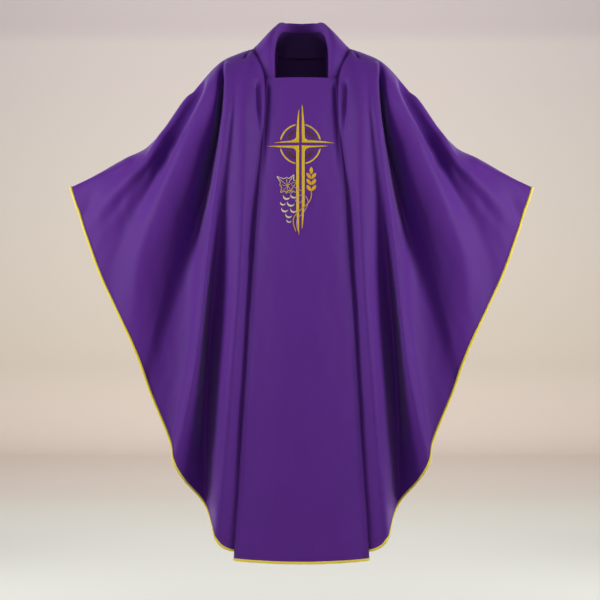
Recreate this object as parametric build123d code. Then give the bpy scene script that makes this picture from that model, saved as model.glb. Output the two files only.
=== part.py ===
from build123d import *
import math
import os
import numpy as np

# A full Gothic chasuble: a sleeveless poncho of heavy cloth, worn over the shoulders with
# both arms held away from the body. Millimetres, +Z up. The origin is the middle of the
# neck opening, level with the points of the shoulders; the front faces -Y, the wearer's
# left and right wings reach along +X and -X, and both wings are the same.

# ---- driving dimensions ---------------------------------------------------------------
CLOTH = 2.0              # a cloth layer with its lining, as one plain solid
TRIM = 1.2               # tapes, facings and interlinings
THREAD = 1.0             # how far the embroidery stands on the panel
GAP = 0.5                # clear air between layers that lie on each other
PIPING_RADIUS = 3.2      # round gold cord sewn into the hems
PIPING_SET_OUT = 3.8     # from the edge of the cloth to the middle of the cord
TAPE_START = 128.0       # half span where the seam tape under the arm line begins
TAPE_LENGTH = 420.0      # how far along the span it runs
TAPE_WIDTH = 14.0

PANEL_TOP = -79.0        # straight lower edge of the square neckline
PANEL_HEM = -1268.0      # lower edge of the panel at its corners
PANEL_HEM_DIP = 8.0      # the panel's hem is lower in the middle
PANEL_HALF_TOP = 93.0    # half width of the panel at the neckline
PANEL_TAPER = 0.0617     # gain of half width for each millimetre down
PANEL_CROWN = 24.0       # the panel's edges lie this far behind its middle
BACK_PANEL_TOP = 2.0     # upper edge of the back panel, under the collar
CHEST = 88.0             # depth of the neckline in front of the shoulder line
CHEST_GAIN = 62.0        # further depth gained over the chest
CHEST_LENGTH = 180.0     # how quickly it is gained
HANG_FLARE = 0.035       # slow outward flare down to the hem
WING_DEPTH = 134.0       # depth of the cloth beside the panel
WING_REACH = 620.0       # half span at which that depth has shrunk to nothing
WING_ROUND = 250.0       # drop over which the cloth rounds off the shoulder
WING_ROUND_MIN = 40.0    # the same at the wing's tip
WING_FLARE = 0.06        # flare of the wings down to the hem
BACK_FOLDS = 0.6         # the back hangs in the same folds, but shallower

# The line over shoulder and arm where front and back meet: half span, height.
ARM_LINE = [(121, 4), (160, -9), (202, -29), (258, -87), (313, -160), (359, -219),
            (392, -248), (445, -274), (532, -323), (584, -348)]

# Fold lines from the arm line to the hem: the half span where each starts, then (half span,
# height) at the other stations, and how far it stands before (+) or behind (-) the plain hang.
STATIONS = (0.0, 0.15, 0.4, 0.7, 1.0)
STAND_STATIONS = (0.0, 0.1, 0.33, 0.65, 1.0)
FOLDS = {
    "panel_pleat": (130, [(107, -112), (121, -430), (146, -835), (180, -1246)], (-16, -17, -16, -20)),
    "inner_ridge": (142, [(142, -130), (148, -450), (180, -850), (216, -1214)], (4, 10, 8, 2)),
    "inner_valley": (162, [(168, -138), (202, -455), (238, -860), (254, -1134)], (4, -6, -74, -94)),
    "main_ridge": (181, [(184, -145), (224, -440), (262, -780), (312, -1040)], (8, 14, 16, 6)),
    "ridge_lip": (189, [(192, -148), (230, -400), (273, -700), (324, -985)], (4, 0, -34, -12)),
    "main_valley": (196, [(198, -140), (239, -350), (303, -600), (374, -868)], (-32, -74, -44, -16)),
    "valley_brow": (207, [(210, -132), (268, -345), (335, -560), (398, -800)], (0, -20, -28, -8)),
    "wing_crown": (228, [(242, -124), (322, -320), (395, -522), (430, -725)], (6, 12, 8, 0)),
    "arm_valley": (256, [(284, -150), (340, -268), (420, -420), (495, -592)], (-12, -12, -8, -4)),
    "arm_ridge": (345, [(364, -242), (415, -308), (480, -382), (544, -466)], (6, 8, 6, 4)),
    "wing_slack": (450, [(463, -298), (490, -332), (524, -380), (555, -433)], (0, -4, -4, -2)),
    "wing_tip": (584, [(581, -357), (576, -372), (569, -392), (562, -412)], (0, 0, 0, 0)),
}
FOLD_PLACES = (0.0, 0.06, 0.14, 0.23, 0.32, 0.37, 0.43, 0.49, 0.57, 0.67, 0.79, 0.9, 1.0)

# The inner edges of the wings, sewn to the collar and then to the back of a panel's edge:
# half span, depth from the shoulder line, height.
SEAM_STATIONS = (0.0, 0.04, 0.09, 0.2, 0.45, 0.7, 1.0)
FRONT_SEAM = [(121, 0, 4), (110, 42, -26), (96, 61, -72), (84, 90, -180),
              (97, 126, -500), (117, 140, -835), (146, 156, -1250)]
BACK_SEAM = [(121, 0, 4), (113, 36, 7), (94, 60, -4), (80, 84, -90),
             (96, 122, -440), (117, 140, -835), (146, 156, -1250)]

# The collar from the middle of the nape (0) to the corner of the neckline (1):
# half width, depth (+ behind), height of its lower seam, of its roll and of its inner edge.
COLLAR_STATIONS = (0.0, 0.35, 0.6, 0.74, 0.87, 1.0)
COLLAR_SEAM = [(0, 91, -4), (60, 82, -3), (106, 36, 3), (121, -2, 4),
               (108, -46, -30), (90, -62, -92)]
COLLAR_ROLL = [(0, 76, 77), (36, 66, 77), (60, 22, 69), (72, -22, 42),
               (78, -54, -4), (74, -70, -92)]
COLLAR_INNER = [(0, 63, 52), (31, 54, 52), (53, 16, 45), (63, -14, 20),
                (67, -46, -20), (66, -71, -92)]
COLLAR_ROLL_AT = 0.62    # share of the collar's width, from seam to inner edge, at the roll


# ---- the drape ------------------------------------------------------------------------
def smooth(x, knots, values):
    """A smooth curve through values at knots, with slopes from the neighbouring points."""
    knots = np.asarray(knots, float)
    values = np.asarray(values, float)
    slopes = np.gradient(values, knots, axis=0)
    i = int(np.clip(np.searchsorted(knots, x) - 1, 0, len(knots) - 2))
    h = knots[i + 1] - knots[i]
    t = (x - knots[i]) / h
    return ((1 + 2 * t) * (1 - t) ** 2 * values[i] + t * (1 - t) ** 2 * h * slopes[i]
            + t * t * (3 - 2 * t) * values[i + 1] - t * t * (1 - t) * h * slopes[i + 1])


def arm_height(span):
    """Height of the arm line at a half span."""
    spans = [p[0] for p in ARM_LINE]
    heights = [p[1] for p in ARM_LINE]
    return float(smooth(max(span, spans[0]), spans, heights))


def hang(span, height):
    """Plain depth of the wing's cloth, with no folds in it."""
    drop = max(arm_height(span) - height, 0.0)
    depth = WING_DEPTH * max(1 - (span / WING_REACH) ** 2, 0.02)
    round_off = WING_ROUND_MIN + WING_ROUND * (1 - span / 600)
    part = min(drop / round_off, 1.0)
    return depth * math.sqrt(1 - (1 - part) ** 2) + WING_FLARE * max(drop - round_off, 0.0)


def fold_point(name, v, face):
    """One point of a fold line: v is 0 on the arm line and 1 at the hem, face -1 or +1."""
    start, stations, stand = FOLDS[name]
    span, height = smooth(v, STATIONS, [(start, arm_height(start))] + stations)
    offset = smooth(v, STAND_STATIONS, (0.0,) + stand)
    if face > 0:
        offset = offset * BACK_FOLDS
    return np.array([span, face * (hang(span, height) * leave(v) + offset), height])


def leave(v):
    """Share of the plain depth: it starts from nothing where front and back meet."""
    return min(v / 0.004, 1.0) ** 0.5


def wing_point(u, w, side, face):
    """A point of a wing: u from the seam (0) to the tip (1), w from arm line to hem."""
    v = 1.3 * w * w / (w + 0.3)
    seam = FRONT_SEAM if face < 0 else BACK_SEAM
    sewn = smooth(v, SEAM_STATIONS, seam)
    line = [np.array([sewn[0], face * sewn[1], sewn[2]])]
    line += [fold_point(name, v, face) for name in FOLDS]
    span, depth, height = smooth(u, FOLD_PLACES, line)
    start = smooth(u, FOLD_PLACES, FOLD_STARTS)
    height += (arm_height(start[0]) - start[1]) * (1 - v) ** 4
    return np.array([side * span, depth, height])


# Where the lines across a wing start on the arm line: the seam first, then the folds.
FOLD_STARTS = [(FRONT_SEAM[0][0], FRONT_SEAM[0][2])]
FOLD_STARTS += [(start, arm_height(start)) for start, _, _ in FOLDS.values()]


def panel_depth(x, z, top):
    """How far a panel lies from the shoulder line."""
    down = top - z
    depth = CHEST + CHEST_GAIN * (1 - math.exp(-down / CHEST_LENGTH)) + HANG_FLARE * down
    return depth - PANEL_CROWN * (x / panel_half(z)) ** 2


def panel_half(z):
    """Half width of the front or back panel at a height."""
    return PANEL_HALF_TOP + PANEL_TAPER * (PANEL_TOP - z)


def panel_point(s, t, face, top):
    """A point of a panel: s from -1 to 1 across, t from the top edge (0) to the hem (1)."""
    hem = PANEL_HEM - PANEL_HEM_DIP * (1 - s * s)
    z = top + (hem - top) * t
    x = s * panel_half(z)
    return np.array([x, face * panel_depth(x, z, top), z])


def collar_point(s, t):
    """A point of the collar: s from -1 to 1 round the neck, t from its seam to its inner edge."""
    c = abs(s)
    rows = [smooth(c, COLLAR_STATIONS, row) for row in (COLLAR_SEAM, COLLAR_ROLL, COLLAR_INNER)]
    point = smooth(t, (0.0, COLLAR_ROLL_AT, 1.0), rows)
    return np.array([math.copysign(point[0], s), point[1], point[2]])


# ---- solids from surfaces ---------------------------------------------------------------
def sheet(surface, us, vs, low, high):
    """A closed layer of a surface between two distances along its normals, lofted across us."""
    points = np.array([[surface(u, v) for v in vs] for u in us])
    normals = np.cross(np.gradient(points, axis=0), np.gradient(points, axis=1))
    normals /= np.linalg.norm(normals, axis=2)[:, :, None]
    sections = []
    for row, normal in zip(points, normals):
        lower = [Vector(*p) for p in row + normal * low]
        upper = [Vector(*p) for p in row + normal * high]
        edges = [Edge.make_spline(lower, parameters=list(vs)), Edge.make_line(lower[-1], upper[-1]),
                 Edge.make_spline(upper, parameters=list(vs)), Edge.make_line(lower[0], upper[0])]
        sections.append(edges)
    skin = Solid.make_loft([Wire(edges) for edges in sections])
    ends = [Face.make_surface_from_curves(edges[0], edges[2]) for edges in (sections[0], sections[-1])]
    return Solid(Shell(list(skin.faces()) + ends))


def tube(points, radius):
    """A round cord: straight runs between the points, joined by arcs as large as fit."""
    points = [Vector(*p) for p in points]
    radii = []
    for before, here, after in zip(points, points[1:], points[2:]):
        turn = math.radians((here - before).get_angle(after - here))
        run = min((here - before).length, (after - here).length)
        radii.append(0.45 * run / math.tan(turn / 2))
    path = FilletPolyline(*points, radius=radii).wire()
    start = Plane(origin=path.position_at(0), z_dir=path.tangent_at(0))
    return Solid.sweep(Face(Wire.make_circle(radius, start)), path)


# ---- cloth --------------------------------------------------------------------------------
def wing(side, face):
    """One quarter of the body, from the arm line to the hem."""
    return sheet(lambda u, w: wing_point(u, w, side, face), np.linspace(0, 1, 34),
                 np.linspace(0, 1, 16), -CLOTH / 2, CLOTH / 2)


def panel(face, top, window=(-1, 1, 0, 1), low=-CLOTH / 2, high=CLOTH / 2):
    """A centre panel, or a layer on a window (s low, s high, t low, t high) of it."""
    s0, s1, t0, t1 = window
    return sheet(lambda s, t: panel_point(s, t, face, top), np.linspace(s0, s1, 9),
                 np.linspace(t0, t1, 12), low, high)


def collar_facing_point(s, t):
    """The inside of the collar, from its rolled edge back down to the neck seam."""
    c = abs(s)
    edge = smooth(c, COLLAR_STATIONS, COLLAR_INNER)
    seam = smooth(c, COLLAR_STATIONS, COLLAR_SEAM) * np.array([0.9, 0.9, 1.0])
    point = edge + (seam - edge) * t - np.array([0, 0, 3.0 + 5.0 * t])
    return np.array([math.copysign(point[0], s), point[1], point[2]])


def collar_parts():
    across = np.linspace(-1, 1, 31)
    along = np.linspace(0, 1, 9)
    inner = CLOTH / 2 + GAP
    return {
        "collar_outer": sheet(collar_point, across, along, -CLOTH / 2, CLOTH / 2),
        "collar_interlining": sheet(collar_point, np.linspace(-0.9, 0.9, 29),
                                    np.linspace(0.08, 0.5, 6), inner, inner + TRIM),
        "collar_facing": sheet(collar_facing_point, across, along, -TRIM / 2, TRIM / 2),
    }


def shoulder_tape(side):
    """The tape under the seam that joins front and back along the arm."""
    def point(u, v):
        span = TAPE_START + TAPE_LENGTH * u
        y = TAPE_WIDTH * (v - 0.5)
        sag = y * y * 0.02
        return np.array([side * span, y, arm_height(span) - CLOTH - 2 * GAP - sag])
    return sheet(point, np.linspace(0, 1, 16), np.linspace(0, 1, 5), -TRIM / 2, TRIM / 2)


# ---- piping -------------------------------------------------------------------------------
def past_edge(edge, inside):
    """The middle of a cord that is sewn along an edge of a sheet."""
    outward = edge - inside
    return edge + outward * (PIPING_SET_OUT / np.linalg.norm(outward))


def hem_cord(surface, places):
    """The route of a cord that runs just past the hem (v = 1) of a surface."""
    return [past_edge(surface(u, 1.0), surface(u, 0.98)) for u in places]


def wing_piping(side, face):
    """The cord along a wing's hem, round its tip and up to the arm line."""
    def surface(u, w):
        return wing_point(u, w, side, face)
    tip = [past_edge(surface(1.0, w), surface(0.98, w)) for w in (0.9, 0.7, 0.48, 0.3, 0.18)]
    return tube(hem_cord(surface, np.linspace(0.04, 0.99, 24)) + tip, PIPING_RADIUS)


def panel_piping(face, top):
    return tube(hem_cord(lambda s, t: panel_point(s, t, face, top), np.linspace(-1, 1, 8)), PIPING_RADIUS)


# ---- embroidery, drawn flat as (x, z) and laid on the front panel ---------------------------
CROSS_X = -2.7           # the crossing of the four strokes
CROSS_Z = -249.0
CROSS_GAP = 3.4          # half the gap between the strokes
CROSS_BAR = 7.0          # width of a stroke near the crossing
CROSS_BEND = 22.0        # from the crossing to where the curve between two strokes begins
CROSS_ARMS = {           # direction across, direction up: length up or down, length across
    (1, 1): (101, 85), (-1, 1): (88, 66), (-1, -1): (226, 84), (1, -1): (211, 68)}
HALO_RADIUS = 50.0
HALO_WIDTH = 3.8
HALO_CLEAR = 15.0        # degrees left free beside each stroke
SHADE_RADIUS = 35.5
SHADE_WIDTH = 8.5
SHADE_CLEAR = 24.0
GRAPES = [(-37, -382), (-19.5, -379), (-46, -397), (-26.5, -398.5), (-41.5, -413), (-19.5, -414.5),
          (-31.5, -427.5), (-31, -440.5)]
GRAPE_RADIUS = 9.0
GRAPE_WIDTH = 4.0
LEAF = [(-62, -323), (-46, -329), (-40, -323), (-32, -329), (-20, -322), (-12, -334),
        (-16, -350), (-30, -352), (-34, -366), (-50, -364), (-52, -350), (-60, -340)]
LEAF_VEIN = [(-56, -333), (-40, -343), (-24, -352)]
TENDRIL = [(-28, -350), (-14, -362), (0, -374), (12, -392), (13, -408), (2, -424), (-10, -436),
           (-13, -455), (-8, -470)]
TENDRIL_LOOP = (-5, -389)
TENDRIL_LOOP_RADIUS = 10.0
TENDRIL_WIDTH = 2.4
EAR_X = 23.5
EAR_TOP = -309.0
GRAIN_LENGTH = 17.0
GRAIN_WIDTH = 7.5
STEM = [(24, -369), (22, -388), (10, -405), (-8, -420), (-19, -440), (-17, -458), (-12, -466)]
STEM_WIDTH = 3.0


def flat(points):
    """Points of the panel's front plane."""
    return [Vector(x, 0, z) for x, z in points]


def strip(points, width):
    """A ribbon of constant width along a smooth line."""
    line = Edge.make_spline(flat(points))
    places = np.linspace(0, 1, 4 * len(points))
    left, right = [], []
    for place in places:
        spot = line.position_at(place)
        across = line.tangent_at(place).cross(Vector(0, 1, 0)) * (width / 2)
        left.append(spot + across)
        right.append(spot - across)
    edges = [Edge.make_spline(left), Edge.make_line(left[-1], right[-1]),
             Edge.make_spline(right), Edge.make_line(right[0], left[0])]
    return Face(Wire(edges))


def arc_band(x, z, radius, width, start, end):
    """Part of a ring, from a start to an end angle in degrees."""
    angles = np.radians(np.linspace(start, end, 9))
    return strip([(x + radius * math.cos(a), z + radius * math.sin(a)) for a in angles], width)


def cross_stroke(across, up):
    """One corner of the cross: a tall and a wide tapering stroke that meet in a curve."""
    tall, wide = CROSS_ARMS[(across, up)]
    g, bar = CROSS_GAP, CROSS_BAR

    def spot(x, z):
        return Vector(CROSS_X + across * x, 0, CROSS_Z + up * z)
    bend = CROSS_BEND + bar
    corners = [spot(g + 1.5, tall), spot(g + bar, 0.4 * tall), spot(g + bar, bend)]
    shoulder = [spot(bend, g + bar), spot(max(0.4 * wide, bend + 1), g + bar), spot(wide, g + 0.5)]
    curve = Edge.make_three_point_arc(corners[-1], spot(g + bar + 5, g + bar + 5), shoulder[0])
    outer = Polyline(*corners).edges() + [curve] + Polyline(*shoulder).edges()
    inner = Polyline(shoulder[-1], spot(g, g), corners[0]).edges()
    return Face(Wire(outer + inner))


def crescent(x, z):
    """One grape: a sickle open to the upper left."""
    outer = Edge.make_three_point_arc(*flat([(x - GRAPE_RADIUS, z), (x, z - GRAPE_RADIUS * 0.75),
                                             (x + GRAPE_RADIUS, z)]))
    inner = Edge.make_three_point_arc(*flat([(x + GRAPE_RADIUS, z),
                                             (x, z - GRAPE_RADIUS * 0.75 + GRAPE_WIDTH),
                                             (x - GRAPE_RADIUS, z)]))
    return Face(Wire([outer, inner]))


def grain(x, z, lean):
    """One grain of wheat, a pointed oval leaning by some degrees."""
    turn = math.radians(lean)
    up = Vector(math.sin(turn), 0, math.cos(turn))
    side = up.cross(Vector(0, 1, 0))
    foot, tip = Vector(x, 0, z), Vector(x, 0, z) + up * GRAIN_LENGTH
    middle = (foot + tip) * 0.5
    right = Edge.make_three_point_arc(foot, middle + side * (GRAIN_WIDTH / 2), tip)
    left = Edge.make_three_point_arc(tip, middle - side * (GRAIN_WIDTH / 2), foot)
    return Face(Wire([right, left]))


def wheat_ear():
    grains = [grain(EAR_X, EAR_TOP - GRAIN_LENGTH, 0)]
    for step in range(3):
        foot = EAR_TOP - GRAIN_LENGTH - 14 - step * 14.5
        grains += [grain(EAR_X + 1.5, foot, 33), grain(EAR_X - 1.5, foot, -33)]
    return grains


def leaf_outline():
    edge = Edge.make_spline(flat(LEAF), periodic=True)
    middle = (-36, -342)
    inner = [(middle[0] + 0.8 * (x - middle[0]), middle[1] + 0.8 * (z - middle[1])) for x, z in LEAF]
    hole = Edge.make_spline(flat(inner), periodic=True)
    border = Face(Wire([edge])) - Face(Wire([hole]))
    return [*border.faces(), strip(LEAF_VEIN, TENDRIL_WIDTH)]


def arcs(radius, width, clear):
    """Four arcs round the crossing, with some degrees left clear at the strokes."""
    return [arc_band(CROSS_X, CROSS_Z, radius, width, quarter + clear, quarter + 90 - clear)
            for quarter in (0, 90, 180, 270)]


def embroidery_shapes():
    loop = arc_band(*TENDRIL_LOOP, TENDRIL_LOOP_RADIUS, TENDRIL_WIDTH, 30, 330)
    return {
        "cross_embroidery": [cross_stroke(*key) for key in CROSS_ARMS],
        "halo_ring_embroidery": arcs(HALO_RADIUS, HALO_WIDTH, HALO_CLEAR),
        "halo_shading_embroidery": arcs(SHADE_RADIUS, SHADE_WIDTH, SHADE_CLEAR),
        "wheat_ear_embroidery": wheat_ear(),
        "vine_leaf_embroidery": leaf_outline(),
        "grape_embroidery": [crescent(x, z) for x, z in GRAPES],
        "wheat_stem_embroidery": [strip(STEM, STEM_WIDTH)],
        "vine_tendril_embroidery": [strip(TENDRIL, TENDRIL_WIDTH), loop],
    }


def clear_of(face, others):
    """What is left of a flat face beside the others."""
    pieces = [face]
    for other in others:
        pieces = [rest for piece in pieces for rest in (piece - other).faces()]
    return pieces


def stitched(faces, layer):
    """Flat faces cut out of the thin layer that lies on the panel."""
    solids = []
    for face in faces:
        block = Solid.extrude(face, Vector(0, -400, 0))
        solids += [solid for piece in layer.intersect(block) for solid in piece.solids()]
    return Compound(solids)


# ---- the assembly -------------------------------------------------------------------------
def build():
    parts = {}
    for face, word, top in ((-1, "front", PANEL_TOP), (1, "back", BACK_PANEL_TOP)):
        parts[word + "_panel"] = panel(face, top)
        parts[word + "_panel_piping"] = panel_piping(face, top)
        for side, hand in ((-1, "right"), (1, "left")):
            parts[f"{word}_{hand}_wing"] = wing(side, face)
            parts[f"{word}_{hand}_piping"] = wing_piping(side, face)
    for side, hand in ((-1, "right"), (1, "left")):
        parts[hand + "_shoulder_tape"] = shoulder_tape(side)
    parts.update(collar_parts())
    inside = (CLOTH / 2 + GAP, CLOTH / 2 + GAP + TRIM)
    parts["front_neck_facing"] = panel(-1, PANEL_TOP, (-0.95, 0.95, 0.0, 0.04), *inside)
    parts["embroidery_backing"] = panel(-1, PANEL_TOP, (-0.86, 0.86, 0.05, 0.35), *inside)
    on_top = panel(-1, PANEL_TOP, (-1, 1, 0.03, 0.36), -CLOTH / 2 - GAP / 5 - THREAD, -CLOTH / 2 - GAP / 5)
    done = []
    for name, shapes in embroidery_shapes().items():
        faces = [piece for shape in shapes for piece in clear_of(shape, done)]
        parts[name] = stitched(faces, on_top)
        done += faces
    return parts


os.makedirs("parts", exist_ok=True)
for name, shape in build().items():
    export_step(shape, f"parts/{name}.step")
    print(name, "valid" if shape.is_valid else "NOT VALID", len(shape.solids()), round(shape.volume))
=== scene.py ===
import math

import bpy
import numpy as np
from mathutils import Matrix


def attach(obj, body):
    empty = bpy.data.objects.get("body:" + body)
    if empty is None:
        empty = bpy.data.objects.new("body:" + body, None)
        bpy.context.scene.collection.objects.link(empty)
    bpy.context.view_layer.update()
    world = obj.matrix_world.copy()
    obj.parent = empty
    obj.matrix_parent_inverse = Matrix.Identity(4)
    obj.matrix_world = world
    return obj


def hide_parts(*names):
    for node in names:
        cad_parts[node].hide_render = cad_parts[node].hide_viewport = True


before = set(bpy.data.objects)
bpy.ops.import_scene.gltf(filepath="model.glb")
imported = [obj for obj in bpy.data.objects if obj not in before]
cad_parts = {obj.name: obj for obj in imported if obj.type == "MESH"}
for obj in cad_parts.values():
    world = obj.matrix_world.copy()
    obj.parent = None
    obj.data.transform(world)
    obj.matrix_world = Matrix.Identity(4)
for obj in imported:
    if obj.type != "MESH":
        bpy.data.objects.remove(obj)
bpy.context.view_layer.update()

# A violet Gothic chasuble in its hanging drape. Metres, in the frame of the CAD model: the origin
# is the middle of the neck opening, the front faces -Y, +X is the wearer's left.

# ---- driving dimensions ---------------------------------------------------------------------
CLOTH = 0.0012            # cloth with its lining
TRIM = 0.0008             # facings, tapes and interlinings
TAPE_START = 0.128        # from the middle to the near end of a seam tape
TAPE_SPAN = 0.420         # how far it runs sideways
TAPE_HALF_WIDTH = 0.007
GAP = 0.0004              # clear air between layers that lie on each other
PANEL_TOP = -0.079        # straight neckline
PANEL_HEM = -1.268
PANEL_HEM_DIP = 0.008
PANEL_HALF_TOP = 0.093
PANEL_TAPER = 0.0617
PANEL_CROWN = 0.024
BACK_PANEL_TOP = 0.002
PANEL_ROLL = 0.006        # radius of the panel's turned-back edges
PANEL_RETURN = 0.022      # how far the turned edge runs back behind the panel
PANEL_VALLEY = (0.080, 0.0062, 0.0080)   # soft valley beside the neckline: half span, width, depth
CHEST = 0.088
CHEST_GAIN = 0.062
CHEST_LENGTH = 0.180
HANG_FLARE = 0.035
WING_DEPTH = 0.134
WING_REACH = 0.620
WING_ROUND = 0.250
WING_ROUND_MIN = 0.040
WING_FLARE = 0.06
BACK_FOLDS = 0.6
PIPING_RADIUS = 0.0033

ARM_LINE = [(.121, .004), (.160, -.009), (.202, -.029), (.258, -.087), (.313, -.160),
            (.359, -.219), (.392, -.248), (.445, -.274), (.532, -.323), (.584, -.348)]

# Fold lines from the arm line to the hem: half span where they start, then (half span, height)
# at the other stations, and how far the fold stands before (+) or behind (-) the plain hang.
STATIONS = (0.0, 0.15, 0.4, 0.7, 1.0)
STAND_STATIONS = (0.0, 0.1, 0.33, 0.65, 1.0)
FOLDS = {
    "panel_pleat": (.130, [(.107, -.112), (.121, -.430), (.146, -.835), (.180, -1.246)],
                    (-.016, -.017, -.016, -.020)),
    "inner_ridge": (.142, [(.142, -.130), (.148, -.450), (.180, -.850), (.211, -1.217)],
                    (.004, .010, .008, .002)),
    "inner_valley": (.162, [(.168, -.138), (.202, -.455), (.238, -.860), (.241, -1.146)],
                     (.004, -.006, -.074, -.094)),
    "main_ridge": (.181, [(.184, -.145), (.224, -.440), (.262, -.780), (.312, -1.040)],
                   (.008, .014, .016, .006)),
    "ridge_lip": (.189, [(.192, -.148), (.230, -.400), (.273, -.700), (.324, -.985)],
                  (.004, .000, -.034, -.012)),
    "main_valley": (.196, [(.198, -.140), (.239, -.350), (.303, -.600), (.374, -.868)],
                    (-.032, -.082, -.060, -.018)),
    "valley_brow": (.207, [(.210, -.132), (.268, -.345), (.335, -.560), (.398, -.800)],
                    (.000, -.020, -.028, -.008)),
    "wing_crown": (.228, [(.242, -.124), (.322, -.320), (.395, -.522), (.430, -.725)],
                   (.006, .012, .008, .000)),
    "arm_valley": (.256, [(.284, -.150), (.340, -.268), (.420, -.420), (.495, -.592)],
                   (-.012, -.012, -.008, -.004)),
    "arm_ridge": (.345, [(.364, -.242), (.415, -.308), (.480, -.382), (.544, -.466)],
                  (.006, .008, .006, .004)),
    "wing_slack": (.450, [(.463, -.298), (.490, -.332), (.524, -.380), (.555, -.433)],
                   (.000, -.004, -.004, -.002)),
    "wing_tip": (.584, [(.581, -.357), (.576, -.372), (.569, -.392), (.562, -.412)],
                 (.000, .000, .000, .000)),
}
FOLD_PLACES = (0.0, 0.06, 0.14, 0.23, 0.32, 0.37, 0.43, 0.49, 0.57, 0.67, 0.79, 0.9, 1.0)

# The inner edges of the wings, sewn to the collar and then to a panel's turned edge.
SEAM_STATIONS = (0.0, 0.04, 0.09, 0.2, 0.45, 0.7, 1.0)
FRONT_SEAM = [(.121, 0, .004), (.110, .042, -.026), (.096, .061, -.072), (.084, .090, -.180),
              (.097, .126, -.500), (.117, .140, -.835), (.146, .156, -1.250)]
BACK_SEAM = [(.121, 0, .004), (.113, .036, .007), (.092, .062, .004), (.080, .084, -.090),
             (.096, .122, -.440), (.117, .140, -.835), (.146, .156, -1.250)]

# The collar: half width, depth (+ behind) and height of its seam, stand, roll and inner edge.
COLLAR_STATIONS = (0.0, 0.35, 0.6, 0.74, 0.87, 1.0)
COLLAR_SEAM = [(0, .091, -.004), (.060, .082, -.003), (.106, .036, .003), (.121, -.002, .004),
               (.108, -.046, -.030), (.090, -.062, -.092)]
COLLAR_ROLL = [(0, .076, .077), (.036, .066, .077), (.060, .022, .069), (.072, -.022, .042),
               (.078, -.054, -.004), (.074, -.070, -.092)]
COLLAR_INNER = [(0, .063, .052), (.031, .054, .052), (.053, .016, .045), (.063, -.014, .020),
                (.067, -.046, -.020), (.066, -.071, -.092)]
COLLAR_ROLL_AT = 0.62

CREASE_FULL = 0.18        # share of a crease's length by which it has its full depth
CREASE_FADE = 0.45        # share of its length from which it fades
# Small creases pressed into the front wings: half width, how far they stand (+) or sink (-),
# and the line they follow as (half span, height).
CREASES = [
    (.004, -.0060, [(.130, -.002), (.136, -.012), (.150, -.036)]),
    (.006, .0030, [(.187, -.033), (.189, -.088)]),
    (.005, -.0090, [(.113, -.080), (.110, -.130), (.106, -.230)]),
    (.005, .0035, [(.101, -.080), (.099, -.130), (.097, -.230)]),
    (.009, -.0185, [(.240, -.058), (.264, -.112), (.283, -.155), (.305, -.197), (.340, -.262),
                    (.374, -.333), (.420, -.420)]),
    (.009, .0090, [(.254, -.082), (.294, -.142), (.322, -.184), (.360, -.245), (.420, -.340)]),
    (.022, -.0080, [(.330, -.245), (.374, -.333), (.430, -.430), (.470, -.520)]),
    (.006, -.0050, [(.203, -.038), (.206, -.140), (.217, -.280)]),
    (.015, -.0060, [(.378, -.290), (.453, -.385), (.530, -.480)]),
    (.018, .0040, [(.330, -.200), (.395, -.290), (.490, -.430)]),
]


# ---- the drape --------------------------------------------------------------------------------
def smooth(x, knots, values):
    """A smooth curve through values at knots, with slopes from the neighbouring points."""
    x = np.atleast_1d(np.asarray(x, float))
    knots = np.asarray(knots, float)
    values = np.asarray(values, float)
    slopes = np.gradient(values, knots, axis=0)
    i = np.clip(np.searchsorted(knots, x) - 1, 0, len(knots) - 2)
    shape = (-1,) + (1,) * (values.ndim - 1)
    h = (knots[i + 1] - knots[i]).reshape(shape)
    t = (x - knots[i]).reshape(shape) / h
    return ((1 + 2 * t) * (1 - t) ** 2 * values[i] + t * (1 - t) ** 2 * h * slopes[i]
            + t * t * (3 - 2 * t) * values[i + 1] - t * t * (1 - t) * h * slopes[i + 1])


def step(x, low, high):
    """0 below low, 1 above high, and a smooth rise between them."""
    t = np.clip((x - low) / (high - low), 0, 1)
    return t * t * (3 - 2 * t)


def arm_height(span):
    """Height of the arm line at half spans."""
    spans = [p[0] for p in ARM_LINE]
    heights = [p[1] for p in ARM_LINE]
    shape = np.shape(span)
    return smooth(np.maximum(np.ravel(span), spans[0]), spans, heights).reshape(shape)


def hang(span, height):
    """Plain depth of the wing's cloth, with no folds in it."""
    drop = np.maximum(arm_height(span) - height, 0.0)
    depth = WING_DEPTH * np.maximum(1 - (span / WING_REACH) ** 2, 0.02)
    round_off = WING_ROUND_MIN + WING_ROUND * (1 - span / 0.6)
    part = np.minimum(drop / round_off, 1.0)
    flare = WING_FLARE * np.maximum(drop - round_off, 0.0)
    return depth * np.sqrt(1 - (1 - part) ** 2) + flare


def wing_grid(us, ws, side, face):
    """Points of a wing: u from the seam (0) to the tip (1), w from the arm line to the hem."""
    v = 1.3 * ws * ws / (ws + 0.3)
    seam = smooth(v, SEAM_STATIONS, FRONT_SEAM if face < 0 else BACK_SEAM)
    lines = [seam * (1, face, 1)]
    starts = [(FRONT_SEAM[0][0], FRONT_SEAM[0][2])]
    for first_span, stations, stand in FOLDS.values():
        start = (first_span, float(arm_height(first_span)))
        path = smooth(v, STATIONS, [start] + stations)
        offset = smooth(v, STAND_STATIONS, (0.0,) + stand)
        offset = offset * (BACK_FOLDS if face > 0 else 1.0)
        leave = np.minimum(v / 0.004, 1.0) ** 0.5
        depth = hang(path[:, 0], path[:, 1]) * leave + offset
        lines.append(np.column_stack([path[:, 0], face * depth, path[:, 1]]))
        starts.append(start)
    points = smooth(us, FOLD_PLACES, lines)
    first = smooth(us, FOLD_PLACES, starts)
    lift = arm_height(first[:, 0]) - first[:, 1]
    points[:, :, 2] += lift[:, None] * (1 - v) ** 4
    points += outward_normals(points, face) * relief(points, v, face)[:, :, None]
    points[:, :, 0] *= side
    return points


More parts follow.
